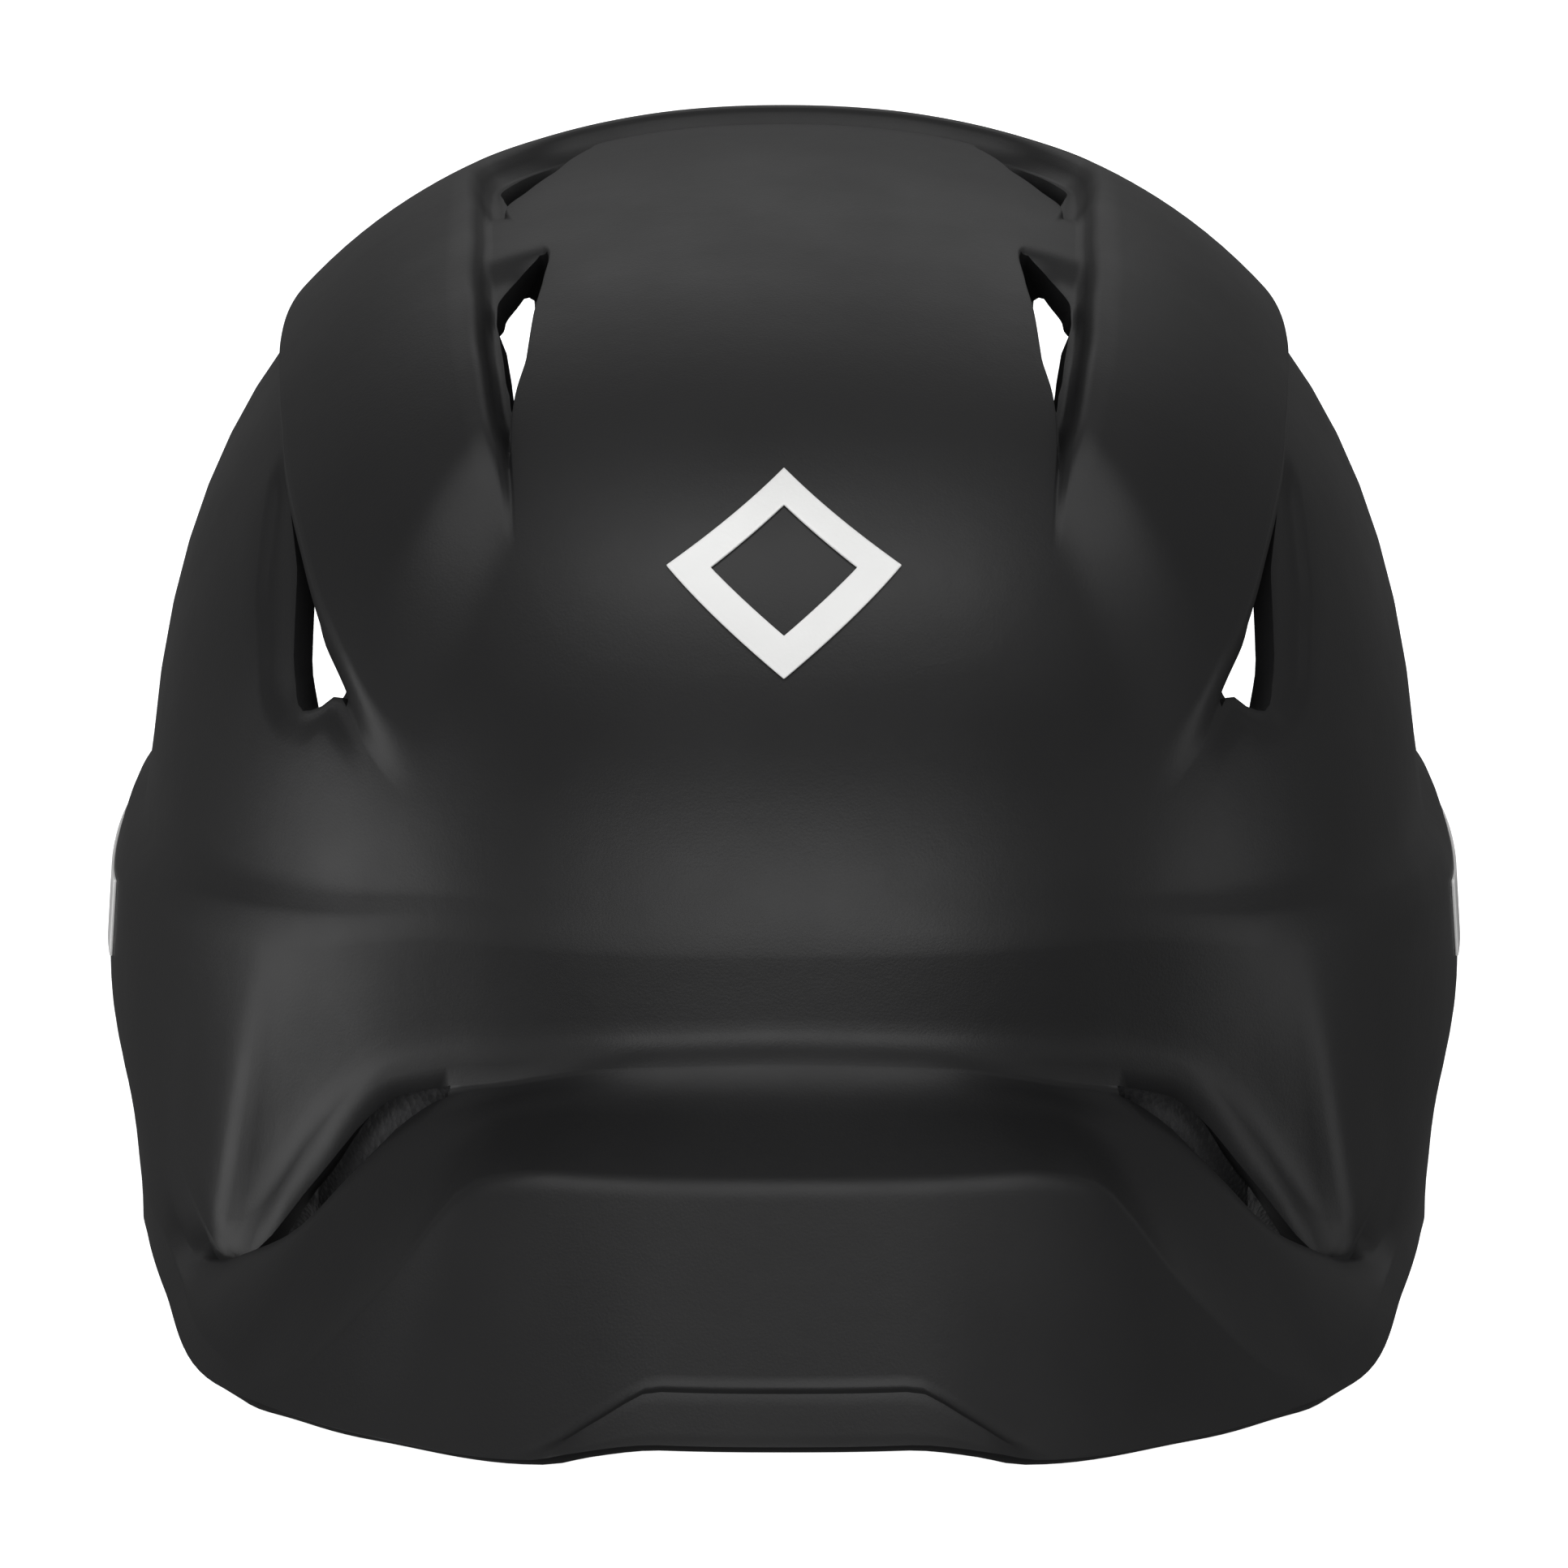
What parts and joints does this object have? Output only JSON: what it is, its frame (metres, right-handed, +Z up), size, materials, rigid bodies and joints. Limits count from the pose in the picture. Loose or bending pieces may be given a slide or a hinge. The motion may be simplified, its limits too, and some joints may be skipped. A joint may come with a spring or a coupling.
{
  "type": "batting helmet",
  "caption": "Two-flap batting helmet: moulded matte shell with a sculpted brim, raised shoulder panels, vent slots, ear holes and a foam pad liner.",
  "frame": {"origin": "centre of the box round the helmet, on the surface that its two ear flaps stand on", "axes": "+Z up through the crown, -Y the way the brim points, +X the viewer's right when the brim faces the viewer"},
  "size_m": [0.2138, 0.2785, 0.2],
  "materials": {
    "shell": "satin-matte black moulded plastic with a very fine grain",
    "mark_white": "flat white stick-on film",
    "label_grey": "plain light grey stick-on film",
    "foam": "closed-cell foam wrapped in black knit fabric",
    "sweatband": "black brushed wicking fabric",
    "insert_metal": "plated steel",
    "snap_metal": "nickel-plated steel"
  },
  "bodies": {
    "root": {"shell": "shell", "front_emblem": "mark_white", "side_decal_left": "mark_white", "side_decal_right": "mark_white", "rear_label": "label_grey", "brow_pad": "foam", "crown_pad_front": "foam", "crown_pad_center": "foam", "crown_pad_rear": "foam", "upper_side_pad_left": "foam", "upper_side_pad_right": "foam", "temple_pad_left": "foam", "temple_pad_right": "foam", "rear_side_pad_left": "foam", "rear_side_pad_right": "foam", "nape_pad": "foam", "ear_pad_left": "foam", "ear_pad_right": "foam", "jaw_pad_left": "foam", "jaw_pad_right": "foam", "sweatband": "sweatband", "jaw_guard_inserts": "insert_metal", "chin_snap_left": "snap_metal", "chin_snap_right": "snap_metal", "chin_snap_washers": "snap_metal"}
  },
  "joints": []
}
